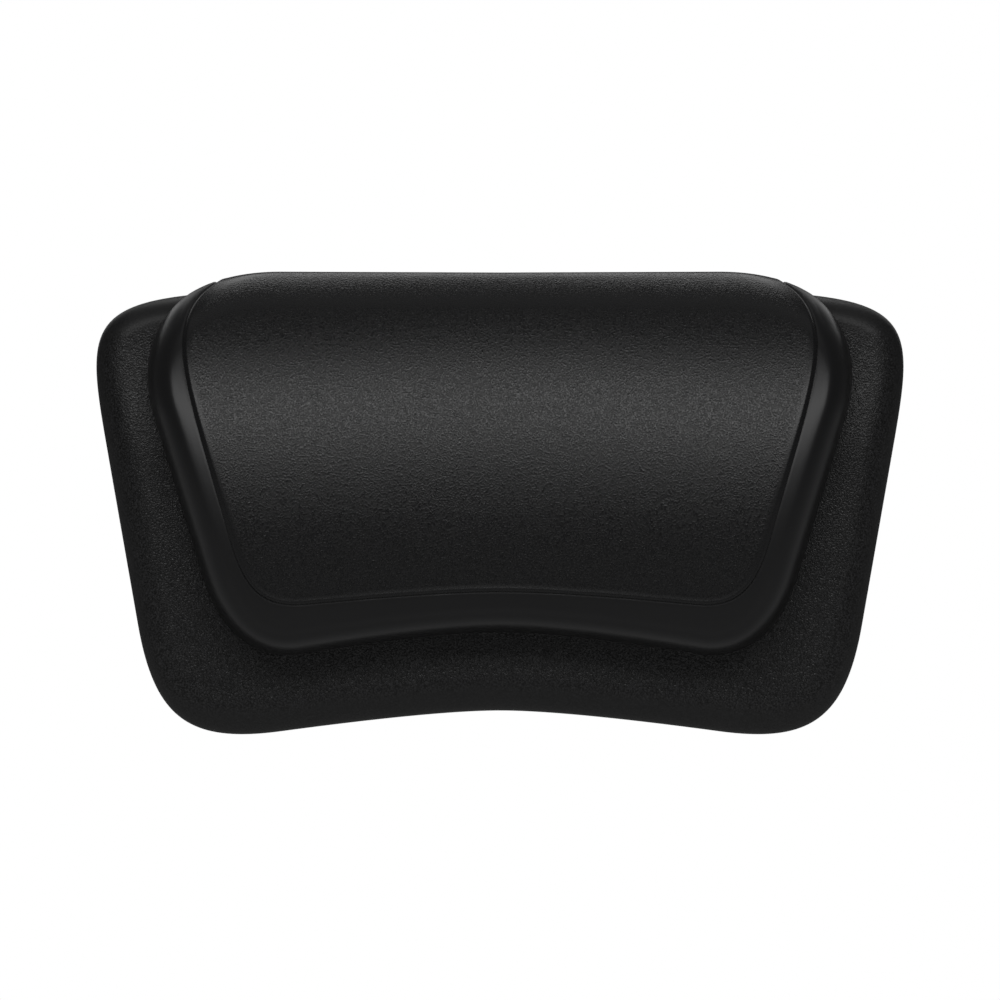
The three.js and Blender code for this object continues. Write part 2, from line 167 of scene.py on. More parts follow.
base_outline = {
    "top": 0.082,
    "top_half_width": 0.1623,
    "top_rise": 0.0,
    "bottom": -0.0946,
    "bottom_half_width": 0.1313,
    "arch_rise": 0.0143,
    "arch_half_flat": 0.025,
    "top_corner_shares": (0.829, 0.356, 1.0),
    "bottom_corner_shares": (0.268, 0.439, 0.76),
}


def bezier(controls, count):
    """Points along a line or curve through two, three or four control points."""
    along = np.linspace(0.0, 1.0, count)[:, None]
    points = [np.array(control, float) for control in controls]
    while len(points) > 1:
        points = [a + (b - a) * along for a, b in zip(points, points[1:])]
    return points[0]


def corner(before, apex, after, shares):
    """Control points of a corner that leaves each of its edges at a share of it from the apex."""
    share_before, share_after, fullness = shares
    start = apex + (before - apex) * share_before
    end = apex + (after - apex) * share_after
    return [start, start + (apex - start) * fullness, end + (apex - end) * fullness, end]


def outline_edge(outline, count):
    """Evenly spaced points round an outline from the middle of its top, and their outward normals."""
    top_middle = np.array([0.0, outline["top"] + outline["top_rise"]])
    top_apex = np.array([outline["top_half_width"], outline["top"]])
    bottom_apex = np.array([outline["bottom_half_width"], outline["bottom"]])
    arch_knee = np.array([outline["arch_half_flat"], outline["bottom"] + outline["arch_rise"]])
    arch_middle = arch_knee * (0.0, 1.0)
    upper = corner(top_middle, top_apex, bottom_apex, outline["top_corner_shares"])
    lower = corner(top_apex, bottom_apex, arch_knee, outline["bottom_corner_shares"])
    stretches = [
        [top_middle, upper[0]],
        upper,
        [upper[3], lower[0]],
        lower,
        [lower[3], arch_knee, arch_middle],
    ]
    fine = np.vstack([bezier(stretch, count) for stretch in stretches])
    length = np.concatenate([[0.0], np.cumsum(np.linalg.norm(np.diff(fine, axis=0), axis=1))])
    spots = np.linspace(0.0, length[-1], count // 2 + 1)
    right = np.column_stack([np.interp(spots, length, fine[:, axis]) for axis in (0, 1)])
    points = np.vstack([right, right[-2:0:-1] * (-1.0, 1.0)])
    along = np.roll(points, -1, axis=0) - np.roll(points, 1, axis=0)
    along /= np.linalg.norm(along, axis=1)[:, None]
    return points, np.column_stack([-along[:, 1], along[:, 0]])


def cushion_rings(form, grow, start, closed):
    """Rings of a moulded cushion, from the edge of its back, or the middle if it is closed, to the
    middle of its front, with its sides and front moved out by grow. Its widest ring lies at its lift.
    Below that its edge draws in by its tuck, and above it rounds over its shoulder, in a quarter of an
    ellipse where its bend is 1 and squarer where it is less."""
    points, normals = outline_edge(form["outline"], ring_points)
    lift, tuck, shoulder, bend = form["edge"](normals[:, 1])
    pair = (ring_points // 2 - np.arange(ring_points)) % ring_points

    def spot(inset):
        return points - normals * (inset - grow)[:, None]

    def height(flat):
        return form["front"](flat[:, 0], flat[:, 1]) + grow

    def toward_spine(flat, share):
        across = form["spine_share"] * (flat[:, 0] + flat[pair, 0]) / 2
        spine = np.column_stack([across, np.full(ring_points, form["spine_height"])])
        return flat + (spine - flat) * share

    tucked = spot(tuck)
    rings = []
    if closed:
        for share in np.linspace(1.0, 0.0, back_rings)[:-1]:
            rings.append((toward_spine(tucked, share), start + 0 * lift))
    for turn in np.linspace(0.0, math.pi / 2, tuck_rings):
        rings.append((spot(tuck * (1 - math.sin(turn))), start + (lift - start) * (1 - math.cos(turn))))
    for turn in np.linspace(0.0, math.pi / 2, shoulder_rings)[1:]:
        flat = spot(shoulder * (1 - max(math.cos(turn), 0.0) ** bend))
        rings.append((flat, lift + (height(flat) - lift) * math.sin(turn) ** bend))
    inner = rings[-1][0]
    for share in np.linspace(0.0, 1.0, front_rings)[1:]:
        flat = toward_spine(inner, share)
        rings.append((flat, height(flat)))
    return np.array([np.column_stack([f[:, 0], -(form["floor"](f[:, 1]) + h), f[:, 1]]) for f, h in rings])


def ring_faces(count):
    """Faces between neighbouring rings, with their outward sides out."""
    faces = []
    for ring in range(count - 1):
        for i in range(ring_points):
            a = ring * ring_points + i
            b = ring * ring_points + (i + 1) % ring_points
            faces.append((a, a + ring_points, b + ring_points, b))
    return faces


def new_piece(name, points, faces, material):
    """A mesh object at the origin, smooth but for its sharp edges."""
    mesh = bpy.data.meshes.new(name)
    mesh.from_pydata([tuple(p) for p in points], [], [tuple(f) for f in faces])
    work = bmesh.new()
    work.from_mesh(mesh)
    bmesh.ops.remove_doubles(work, verts=work.verts, dist=joining_distance)
    work.to_mesh(mesh)
    work.free()
    mesh.shade_smooth()
    mesh.set_sharp_from_angle(angle=crease_angle)
    mesh.materials.append(material)
    piece = bpy.data.objects.new(name, mesh)
    bpy.context.collection.objects.link(piece)
    return piece


def eased(share):
    """A share kept between 0 and 1, with a gentle start and end."""
    share = np.clip(share, 0.0, 1.0)
    return share * share * (3 - 2 * share)


def crowned(z):
    """Height of a base that is crowned evenly from its top to its bottom."""
    top = base_outline["top"]
    middle = (top + base_outline["bottom"] + base_outline["arch_rise"]) / 2
    return base_thickness - base_crown * ((z - middle) / (top - middle)) ** 2


def base_front(x, z):
    """Height of the base above its back: crowned below, and falling to its upper flange in a soft step."""
    step = eased((z - step_start) / (step_end - step_start))
    return np.where(z < 0, crowned(z), base_thickness - base_crown * step)


def base_edge(up):
    """Lift, tuck, shoulder and bend of the base's edge, by how far its outline faces up. The shoulder is
    narrower along the top."""
    shoulder = base_side_shoulder + (base_top_shoulder - base_side_shoulder) * eased(up)
    return base_lift + 0 * up, base_tuck + 0 * up, shoulder, base_bend


base_form = {
    "outline": base_outline,
    "floor": lambda z: stand_off,
    "front": base_front,
    "edge": base_edge,
    "spine_share": 0.7,
    "spine_height": -0.023,
}

# Cut polyurethane foam looks dull and dark, with open cells, and shade is painted dark into the pit of each
# cell. The real cells are about 0.3 mm wide, too fine to show in the render, so they are drawn coarser.
foam, tree, shader = new_material("polyurethane_foam", foam_colour, foam_roughness, foam_ior)
where = add_node(tree, "ShaderNodeTexCoord", {}, {}).outputs["Object"]
cells = add_node(tree, "ShaderNodeTexVoronoi", {}, {"Vector": where, "Scale": 1 / foam_cell_width})
# Painted shade: each cell's colour is darkest at the bottom of its pit.
shade = add_node(
    tree,
    "ShaderNodeMix",
    {"data_type": "RGBA"},
    {"Factor": cells.outputs["Distance"], "A": linear(foam_cell_shade_colour), "B": linear(foam_colour)},
)
tree.links.new(shade.outputs["Result"], shader.inputs["Base Color"])
relief = add_node(
    tree, "ShaderNodeBump", {}, {"Height": cells.outputs["Distance"], "Distance": foam_cell_depth}
)
tree.links.new(relief.outputs["Normal"], shader.inputs["Normal"])


def drum(work, seat, radius, start, end):
    """Adds a cylinder to a bmesh, at a seat and from one depth to another."""
    middle = Matrix.Translation((seat[0], -(start + end) / 2, seat[1]))
    bmesh.ops.create_cone(
        work,
        cap_ends=True,
        segments=seat_facets,
        radius1=radius,
        radius2=radius,
        depth=end - start,
        matrix=middle @ Matrix.Rotation(math.pi / 2, 4, "X"),
    )


def carve(piece, work):
    """Takes the volume of a bmesh out of a piece."""
    cutter_mesh = bpy.data.meshes.new("cutter")
    work.to_mesh(cutter_mesh)
    work.free()
    cutter = bpy.data.objects.new("cutter", cutter_mesh)
    bpy.context.collection.objects.link(cutter)
    modifier = piece.modifiers.new("carve", "BOOLEAN")
    modifier.object = cutter
    modifier.solver = "EXACT"
    piece.data = bpy.data.meshes.new_from_object(piece.evaluated_get(bpy.context.evaluated_depsgraph_get()))
    piece.modifiers.clear()
    piece.data.set_sharp_from_angle(angle=crease_angle)
    bpy.data.objects.remove(cutter)


core_rings = cushion_rings(base_form, -(skin_thickness + clearance), sheet_thickness + clearance, True)
base_core = new_piece("base_core", core_rings.reshape(-1, 3), ring_faces(len(core_rings)), foam)

# The pockets are cut in one go. Known fault: the forms of the cutter overlap or meet end to end, and
# the cut takes out only the four wide seats. The plate and three bores stay filled with foam, and the
# lower left bore is left as a closed void that touches its seat. All of it is hidden.
pockets = bmesh.new()
pockets.from_mesh(plate.data)
bmesh.ops.remove_doubles(pockets, verts=pockets.verts, dist=plate_joining_distance)
pockets.normal_update()
for vert in pockets.verts:
    vert.co += vert.normal * clearance * vert.calc_shell_factor()
for seat in seats:
    drum(pockets, seat, foam_seat_radius, stand_off - clearance, plate_back)
    drum(pockets, seat, bore_radius, plate_back, bush_end + clearance)
carve(base_core, pockets)
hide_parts("base_foam")
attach(base_core, "pillow")


# Base cover: the front skin of the base pad, a shell that is open at its back. It is the polyurethane
# itself, which sets as a dense skin against an etched mould and is bonded to the foam.
base_colour = "#232324"
crease_shade_colour = "#030303"
cover_roughness = 0.3
cover_roughness_range = (0.42, 0.24)
cover_rim_roughness = 0.52
cover_crease_shade_heights = (0.25, 0.7)
cover_grain_width = 0.0011
cover_grain_depth = 0.00012
cover_grain_start = 0.006
cover_grain_full = 0.0145
cover_side_bonus = 0.006
skin_ior = 1.5
grain_gloss_heights = (0.1, 0.8)
grain_middle_height = 0.45
grain_rim_share = 0.2
bend_per_grain = 0.6
wrinkles_per_grain = 1.7
wrinkle_range = (0.32, 0.68)
wrinkle_height = 0.6
edge_points = 4 * ring_points
same_place_digits = 7


def shell(name, outer, inner, faces, material):
    """A skin between an outer and an inner surface with the same faces, closed round its edges. Points
    of a seam that lie in one place count as one."""
    count = len(outer)
    first_there = {}
    same = [first_there.setdefault(tuple(p), i) for i, p in enumerate(np.round(outer, same_place_digits))]
    faces = [tuple(same[i] for i in face) for face in faces]
    edges = {(a, b) for face in faces for a, b in zip(face, (*face[1:], face[0]))}
    rim = [(b, a, a + count, b + count) for a, b in edges if (b, a) not in edges and a != b]
    inside = [tuple(i + count for i in reversed(face)) for face in faces]
    return new_piece(name, np.vstack([outer, inner]), [*faces, *inside, *sorted(rim)], material)


def edge_finder(outline):
    """Points round an outline, their outward normals, and a finder of the nearest one seen from the
    front."""
    edge, outward = outline_edge(outline, edge_points)
    finder = KDTree(len(edge))
    for i, (x, z) in enumerate(edge):
        finder.insert((x, 0.0, z), i)
    finder.balance()
    return edge, outward, finder


def measure_inward(piece, outline, side_bonus):
    """Keeps on a piece how far each point lies from an outline, seen from the front. A point beside an
    upright stretch of it counts as farther in by up to the bonus."""
    _, outward, finder = edge_finder(outline)
    values = []
    for vertex in piece.data.vertices:
        _, nearest, distance = finder.find((vertex.co.x, 0.0, vertex.co.z))
        values.append(distance + side_bonus * outward[nearest, 0] ** 2)
    piece.data.attributes.new("inward", "FLOAT", "POINT").data.foreach_set("value", values)


def grain_height(tree, width):
    """Height of a leather grain, from 0 to about 1: pebbles between creases, bent and crossed by noise."""
    where = add_node(tree, "ShaderNodeTexCoord", {}, {}).outputs["Object"]
    bend = add_node(
        tree, "ShaderNodeTexNoise", {}, {"Vector": where, "Scale": bend_per_grain / width, "Detail": 2.0}
    )
    pull = add_node(
        tree,
        "ShaderNodeVectorMath",
        {"operation": "MULTIPLY_ADD"},
        {0: bend.outputs["Color"], 1: (width, width, width), 2: where},
    )
    creases = add_node(
        tree,
        "ShaderNodeTexVoronoi",
        {"feature": "DISTANCE_TO_EDGE"},
        {"Vector": pull.outputs["Vector"], "Scale": 1 / width},
    )
    wrinkle = add_node(
        tree,
        "ShaderNodeTexNoise",
        {},
        {"Vector": where, "Scale": wrinkles_per_grain / width, "Detail": 1.0, "Roughness": 0.5},
    )
    fold = add_node(
        tree,
        "ShaderNodeMapRange",
        {},
        {"Value": wrinkle.outputs["Fac"], "From Min": wrinkle_range[0], "From Max": wrinkle_range[1]},
    )
    return add_node(
        tree,
        "ShaderNodeMath",
        {"operation": "MULTIPLY_ADD"},
        {0: fold.outputs["Result"], 1: wrinkle_height, 2: creases.outputs["Distance"]},
    ).outputs["Value"]


def faded_grain(tree, width, start, full):
    """Height of a grain that fades out towards the outline that its piece was measured from, and its
    share."""
    inward = add_node(tree, "ShaderNodeAttribute", {"attribute_name": "inward"}, {}).outputs["Fac"]
    share = add_node(
        tree,
        "ShaderNodeMapRange",
        {"interpolation_type": "SMOOTHSTEP"},
        {"Value": inward, "From Min": start, "From Max": full, "To Min": grain_rim_share},
    )
    height = add_node(
        tree,
        "ShaderNodeMix",
        {"data_type": "FLOAT"},
        {"Factor": share.outputs["Result"], "A": grain_middle_height, "B": grain_height(tree, width)},
    )
    return height.outputs["Result"], share.outputs["Result"]


def grain_gloss(tree, height, roughness_range):
    """Roughness of a grain: dull in its creases and glossier on its rubbed tops."""
    low, high = grain_gloss_heights
    dull, glossy = roughness_range
    links = {"Value": height, "From Min": low, "From Max": high, "To Min": dull, "To Max": glossy}
    return add_node(tree, "ShaderNodeMapRange", {}, links).outputs["Result"]


# Polyurethane skin with a coarse leather grain looks black and pebbled: dull creases between glossier tops,
# 1.1 mm apart as on the real one, with shade painted near black into the creases. The grain runs out
# towards the dull rounded rim.
coarse_skin, tree, shader = new_material(
    "coarse_grain_polyurethane_skin", base_colour, cover_roughness, skin_ior
)
height, share = faded_grain(tree, cover_grain_width, cover_grain_start, cover_grain_full)
gloss = grain_gloss(tree, height, cover_roughness_range)
rim_gloss = add_node(
    tree, "ShaderNodeMix", {"data_type": "FLOAT"}, {"Factor": share, "A": cover_rim_roughness, "B": gloss}
)
tree.links.new(rim_gloss.outputs["Result"], shader.inputs["Roughness"])
# Painted shade: the colour darkens to near black in the creases, as shade in them, and stays the skin's own
# black on the tops.
top = add_node(
    tree,
    "ShaderNodeMapRange",
    {},
    {"Value": height, "From Min": cover_crease_shade_heights[0], "From Max": cover_crease_shade_heights[1]},
)
shade = add_node(
    tree,
    "ShaderNodeMix",
    {"data_type": "RGBA"},
    {"Factor": top.outputs["Result"], "A": linear(crease_shade_colour), "B": linear(base_colour)},
)
tree.links.new(shade.outputs["Result"], shader.inputs["Base Color"])
relief = add_node(tree, "ShaderNodeBump", {}, {"Height": height, "Distance": cover_grain_depth})
tree.links.new(relief.outputs["Normal"], shader.inputs["Normal"])

cover_outer = cushion_rings(base_form, 0.0, 0.0, False)
cover_inner = cushion_rings(base_form, -skin_thickness, 0.0, False)
cover_faces = ring_faces(len(cover_outer))
base_cover = shell(
    "base_cover", cover_outer.reshape(-1, 3), cover_inner.reshape(-1, 3), cover_faces, coarse_skin
)
measure_inward(base_cover, base_outline, cover_side_bonus)
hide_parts("base_skin")
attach(base_cover, "pillow")


# Head core: the foam of the head roll, polyurethane poured behind its skins and bonded to the base. It
# bellies out low down, where a neck rests, and rounds over to a crest that overhangs the base.
head_height = 0.037
rest_gap = 0.00006
cradle = 0.003
belly_height = -0.018
belly_fall = 0.0025
profile_over_top = 0.007
seam_lift = 0.0015
crest_extra_lift = 0.0045
seam_tuck = 0.0015
crest_extra_tuck = 0.0125
head_side_shoulder = 0.0121
head_foot_shoulder = 0.0095
head_crest_shoulder = 0.0135
head_side_bend = 0.81
head_foot_bend = 0.76
head_crest_bend = 1.0

head_outline = {
    "top": 0.088,
    "top_half_width": 0.1498,
    "top_rise": -0.0006,
    "bottom": -0.063,
    "bottom_half_width": 0.1042,
    "arch_rise": 0.0131,
    "arch_half_flat": 0.025,
    "top_corner_shares": (0.439, 0.365, 0.6),
    "bottom_corner_shares": (0.231, 0.362, 0.65),
}


def head_front(x, z):
    """Height of the head roll above the base: a quarter of an ellipse from its belly up to its crest,
    a slight fall from its belly down, and a shallow cradle across its middle. It stands on the even
    crown, so that the base's step doesn't show in it."""
    up = np.clip((z - belly_height) / (head_outline["top"] + profile_over_top - belly_height), 0.0, 1.0)
    down = np.clip((belly_height - z) / (belly_height - head_outline["bottom"]), 0.0, None)
    height = head_height * np.sqrt(1 - up**2) - belly_fall * down**2
    across = np.clip(np.abs(x) / head_outline["bottom_half_width"], 0.0, 1.0)
    return height - cradle * (1 - across**2) ** 2 * height / head_height + crowned(z) - base_front(x, z)


def head_edge(up):
    """Lift, tuck, shoulder and bend of the roll's edge, by how far its outline faces up: a low seam at
    its sides and foot, and an overhang at its crest."""
    rise = eased(up)
    fall = np.clip(-up, 0.0, None) ** 2
    shoulder = head_side_shoulder + (head_foot_shoulder - head_side_shoulder) * fall
    shoulder = shoulder + (head_crest_shoulder - shoulder) * rise
    bend = head_side_bend + (head_foot_bend - head_side_bend) * fall
    bend = bend + (head_crest_bend - bend) * rise
    return seam_lift + crest_extra_lift * rise, seam_tuck + crest_extra_tuck * rise, shoulder, bend


head_form = {
    "outline": head_outline,
    "floor": lambda z: stand_off + base_front(0.0, z),
    "front": head_front,
    "edge": head_edge,
    "spine_share": 0.7,
    "spine_height": -0.002,
}

core_rings = cushion_rings(head_form, -(skin_thickness + clearance), rest_gap, True)
head_core = new_piece("head_core", core_rings.reshape(-1, 3), ring_faces(len(core_rings)), foam)
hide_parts("head_foam")
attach(head_core, "pillow")


# Head skins: the roll's one moulded surface of polyurethane, cut along the outline of its panel into a
# smooth border and a grained panel that stands a millimetre proud of it and wraps over the crest. A
# narrow groove with rounded lips runs between them.
border_colour = "#131314"
border_roughness = 0.31
orange_peel_width = 1 / 900
orange_peel_depth = 0.00004
orange_peel_strength = 0.4
panel_colour = "#111112"
panel_roughness = 0.235
panel_roughness_range = (0.4, 0.16)
panel_grain_width = 0.0011
panel_grain_depth = 0.00007
panel_grain_start = 0.0025
panel_grain_full = 0.0045

panel_outline = {
    "top": 0.0882,
    "top_half_width": 0.1337,
    "top_rise": 0.0201,
    "bottom": -0.0413,
    "bottom_half_width": 0.0958,
    "arch_rise": 0.007,
    "arch_half_flat": 0.025,
    "top_corner_shares": (0.93, 0.52, 0.95),
    "bottom_corner_shares": (0.2, 0.312, 0.75),
}

# Height of the skin across the step: the first row is on the panel's side of its seam and the second
# on the border's. The groove softens to a rounded step under the panel, and over the crest the border
# rises until the two are flush.
panel_distance = (-0.0036, -0.0028, -0.002, -0.0015, -0.001, -0.0006, -0.00025, -0.00003)
border_distance = (0.00003, 0.00015, 0.00045, 0.0009)
step_distance = (*panel_distance, *border_distance)
groove_height = (
    0.0011, 0.0011, 0.00108, 0.00094, 0.00057, 0.00023, -0.00001, -0.00013,
    -0.00013, -0.00009, -0.00003, 0.0,
)
crest_height = (
    0.0011, 0.0011, 0.00114, 0.00116, 0.00105, 0.00082, 0.00052, 0.00034,
    0.00034, 0.00052, 0.00092, 0.0011,
)
foot_height = (
    0.00085, 0.00092, 0.00103, 0.00112, 0.00119, 0.00114, 0.0007, -0.00008,
    -0.00014, -0.00014, -0.00006, 0.0,
)
crest_start = 0.066
crest_full = 0.081
foot_start = -0.002
foot_full = -0.028
slope_reach = 0.00025
shaded_reach = 0.0045
least_facing_share = 0.12
cut_joining_distance = 4e-6


def across_groove(points, normals):
    """Distance of points on the roll from the panel's outline, along its surface and less than zero
    inside, and the direction along the surface in which it grows. How far a surface that turns away
    from the front stretches it is limited by the least facing share."""
    edge, outward, finder = edge_finder(panel_outline)
    near = np.array([finder.find((x, 0.0, z))[1] for x, _, z in points])
    flat = points[:, (0, 2)] - edge[near]
    away = np.sum(flat * outward[near], axis=1)
    slant = np.sum(normals[:, (0, 2)] * outward[near], axis=1)
    direction = np.column_stack([outward[near, 0], np.zeros(len(near)), outward[near, 1]])
    direction -= normals * slant[:, None]
    direction /= np.linalg.norm(direction, axis=1)[:, None]
    return away / np.sqrt(np.clip(1 - slant**2, least_facing_share, 1.0)), direction


def cut_along(mesh, distance, level):
    """Cuts the faces of a bmesh along a line of equal distance."""
    cuts = []
    for edge in list(mesh.edges):
        a, b = edge.verts
        if (a[distance] - level) * (b[distance] - level) < 0:
            share = (level - a[distance]) / (b[distance] - a[distance])
            _, cut = bmesh.utils.edge_split(edge, a, share)
            cut[distance] = level
            cuts.append(cut)
    bmesh.ops.connect_verts(mesh, verts=cuts)


roll_rings = cushion_rings(head_form, 0.0, rest_gap, False)
roll = bmesh.new()
for point in roll_rings.reshape(-1, 3):
    roll.verts.new(point)
roll.verts.ensure_lookup_table()
for face in ring_faces(len(roll_rings)):
    roll.faces.new([roll.verts[i] for i in face])
bmesh.ops.remove_doubles(roll, verts=roll.verts, dist=joining_distance)
roll.normal_update()
distance = roll.verts.layers.float.new("distance")
away, _ = across_groove(np.array([v.co for v in roll.verts]), np.array([v.normal for v in roll.verts]))
for vert, value in zip(roll.verts, away):
    vert[distance] = value
for level in step_distance:
    cut_along(roll, distance, level)
bmesh.ops.remove_doubles(roll, verts=roll.verts, dist=cut_joining_distance)
roll.normal_update()
roll.verts.index_update()
surface = np.array([v.co for v in roll.verts])
outward = np.array([v.normal for v in roll.verts])
away = np.array([v[distance] for v in roll.verts])
roll_faces = [[v.index for v in face.verts] for face in roll.faces]
roll.free()


def step_height(distance):
    """Height of the skin at a distance from the seam, for every point of the roll."""
    height = np.interp(distance, step_distance, groove_height)
    foot = (foot_start, foot_full, foot_height)
    crest = (crest_start, crest_full, crest_height)
    for start, full, other in (foot, crest):
        share = eased((surface[:, 2] - start) / (full - start))
        height += (np.interp(distance, step_distance, other) - height) * share
    return height


raised = surface + outward * step_height(away)[:, None]
inside = surface - outward * skin_thickness
seam_middle = (panel_distance[-1] + border_distance[0]) / 2
seam_half = (border_distance[0] - panel_distance[-1]) / 2

# Near the seam the skin shades by the slope of the step itself, so that its narrow facets don't show.
_, across = across_groove(surface, outward)
slope = (step_height(away + slope_reach) - step_height(away - slope_reach)) / (2 * slope_reach)
shading = outward - across * slope[:, None]
shading[np.abs(away) > shaded_reach] = 0.0


def part_of_roll(name, side, material):
    """The shell of the faces on one side of the seam: 1 for the border's and -1 for the panel's."""
    chosen = [face for face in roll_faces if side * (away[face].mean() - seam_middle) > seam_half]
    used = sorted({i for face in chosen for i in face})
    new_index = {old: new for new, old in enumerate(used)}
    chosen = [tuple(new_index[i] for i in face) for face in chosen]
    piece = shell(name, raised[used], inside[used], chosen, material)
    normals = np.vstack([shading[used], np.zeros((len(used), 3))])
    piece.data.normals_split_custom_set_from_vertices([tuple(normal) for normal in normals])
    return piece


# Smooth polyurethane skin looks black and satin, with the faint orange peel of a polished mould.
smooth_skin, tree, shader = new_material(
    "smooth_polyurethane_skin", border_colour, border_roughness, skin_ior
)
where = add_node(tree, "ShaderNodeTexCoord", {}, {}).outputs["Object"]
orange_peel = add_node(
    tree, "ShaderNodeTexNoise", {}, {"Vector": where, "Scale": 1 / orange_peel_width, "Detail": 2.0}
)
relief = add_node(
    tree,
    "ShaderNodeBump",
    {},
    {"Height": orange_peel.outputs["Fac"], "Strength": orange_peel_strength, "Distance": orange_peel_depth},
)
tree.links.new(relief.outputs["Normal"], shader.inputs["Normal"])

# Polyurethane skin with a shallow leather grain looks black and glossier than the base: it glitters
# where its pebbles catch the light, and fades to a smooth lip at the groove.
fine_skin, tree, shader = new_material(
    "fine_grain_polyurethane_skin", panel_colour, panel_roughness, skin_ior
)
height, _ = faded_grain(tree, panel_grain_width, panel_grain_start, panel_grain_full)
tree.links.new(grain_gloss(tree, height, panel_roughness_range), shader.inputs["Roughness"])
relief = add_node(tree, "ShaderNodeBump", {}, {"Height": height, "Distance": panel_grain_depth})
tree.links.new(relief.outputs["Normal"], shader.inputs["Normal"])

border_roll = part_of_roll("border_roll", 1, smooth_skin)
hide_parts("border_skin")
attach(border_roll, "pillow")

head_panel = part_of_roll("head_panel", -1, fine_skin)
measure_inward(head_panel, panel_outline, 0.0)
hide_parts("panel_skin")
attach(head_panel, "pillow")


# Back sheet: a black polyurethane sheet that closes the base from behind, pressed into a dish round
# each socket so that the cups sit close. It lies flush in the rim of the cover and is bonded to the
# foam.
sheet_colour = "#1c1c1d"
sheet_roughness = 0.55
sheet_texture_width = 0.0008
sheet_texture_depth = 0.0001
sheet_inset = base_tuck + skin_thickness + clearance
edge_strip = 0.0004
seat_depth = 0.003
seat_floor_start = 0.0105
seat_inside = 0.0136
seat_outside = 0.0164
seat_floor_loops = 4
seat_wall_loops = 9
seat_rim_radii = (0.018, 0.021)
fill_spacing = 0.006
fill_half_width = 0.15
fill_bottom = -0.09
fill_top = 0.08
flat_joining_distance = 1e-7

# The sheet is meshed flat between loops of points round its edge and its seats, with narrow strips
# along its edge and bores and an even fill between, and is then pressed.
edge, outward = outline_edge(base_outline, ring_points)
turn = np.linspace(0.0, 2 * math.pi, seat_facets, endpoint=False)
circle = np.column_stack([np.cos(turn), np.sin(turn)])
seat_radii = [
    bore_radius,
    bore_radius + edge_strip,
    *np.linspace(seat_floor_start, seat_inside, seat_floor_loops),
    *np.linspace(seat_inside, seat_outside, seat_wall_loops)[1:],
    *seat_rim_radii,
]
loops = [edge - outward * (sheet_inset + run) for run in (0.0, edge_strip / 3, edge_strip)]
inner_loop = loops[-1]
loops += [seat + circle * radius for seat in seats for radius in seat_radii]
spots, borders = [], []
for loop in loops:
    first = len(spots)
    spots += [Vector(p) for p in loop]
    borders += [(first + i, first + (i + 1) % len(loop)) for i in range(len(loop))]
for x in np.arange(-fill_half_width, fill_half_width, fill_spacing):
    for z in np.arange(fill_bottom, fill_top, fill_spacing):
        spot = np.array([x, z])
        near = np.argmin(np.linalg.norm(inner_loop - spot, axis=1))
        deep_inside = np.dot(spot - inner_loop[near], outward[near]) < -fill_spacing / 2
        if deep_inside and np.linalg.norm(seats - spot, axis=1).min() > seat_radii[-1] + fill_spacing / 2:
            spots.append(Vector(spot))
flat, _, sheet_faces, *_ = delaunay_2d_cdt(spots, borders, [], 1, flat_joining_distance)
flat = np.array(flat)
near_seat = np.linalg.norm(flat[:, None] - seats[None], axis=2).min(axis=1)
sheet_faces = [f[::-1] for f in sheet_faces if near_seat[list(f)].mean() > bore_radius + edge_strip / 4]
dip = seat_depth * eased((seat_outside - near_seat) / (seat_outside - seat_inside))
outer = np.column_stack([flat[:, 0], -(stand_off + dip), flat[:, 1]])
inner = outer - (0.0, sheet_thickness, 0.0)

# Pressed polyurethane sheet looks black and matte. Its texture is about 0.3 mm wide on a real one, too
# fine to show in the render, so it is drawn coarser.
sheet_skin, tree, shader = new_material("matte_polyurethane_sheet", sheet_colour, sheet_roughness, skin_ior)
where = add_node(tree, "ShaderNodeTexCoord", {}, {}).outputs["Object"]
texture = add_node(
    tree, "ShaderNodeTexNoise", {}, {"Vector": where, "Scale": 1 / sheet_texture_width, "Detail": 3.0}
)
relief = add_node(
    tree, "ShaderNodeBump", {}, {"Height": texture.outputs["Fac"], "Distance": sheet_texture_depth}
)
tree.links.new(relief.outputs["Normal"], shader.inputs["Normal"])

back_panel = shell("back_panel", outer, inner, sheet_faces, sheet_skin)
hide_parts("back_sheet")
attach(back_panel, "pillow")


# Socket grommets: soft turned parts, moulded from thermoplastic elastomer, that clip through the sheet
# and the plate. Each grips the knob of a cup behind a narrow lip.
grommet_colour = "#2e2e30"
grommet_roughness = 0.5
grommet_roughness_range = (0.42, 0.6)
bloom_width = 0.004
elastomer_ior = 1.5
grommet_facets = 64
fillet_steps = 5
rail_radius = 0.01
turned_crease_angle = math.radians(40)

# The profile of a turned part is swept round a circular rail. Its corners are rounded first.
turned = bpy.data.node_groups.new("turned_part", "GeometryNodeTree")
sizes = {}
for label, kind in (
    ("Profile", "NodeSocketGeometry"),
    ("Facets", "NodeSocketInt"),
    ("Rail Radius", "NodeSocketFloat"),
    ("Tab Half Width", "NodeSocketFloat"),
    ("Tab Centre", "NodeSocketFloat"),
    ("Tab Lift", "NodeSocketFloat"),
    ("Place", "NodeSocketVector"),
    ("Material", "NodeSocketMaterial"),
):
    sizes[label] = turned.interface.new_socket(name=label, in_out="INPUT", socket_type=kind).identifier
turned.interface.new_socket(name="Geometry", in_out="OUTPUT", socket_type="NodeSocketGeometry")
given = add_node(turned, "NodeGroupInput", {}, {}).outputs
line = add_node(turned, "GeometryNodeMeshToCurve", {}, {"Mesh": given["Profile"]})
fillet = add_node(turned, "GeometryNodeInputNamedAttribute", {"data_type": "FLOAT"}, {"Name": "fillet"})
rounded = add_node(
    turned,
    "GeometryNodeFilletCurve",
    {"mode": "POLY"},
    {
        "Curve": line.outputs["Curve"],
        "Count": fillet_steps,
        "Radius": fillet.outputs["Attribute"],
        "Limit Radius": True,
    },
)
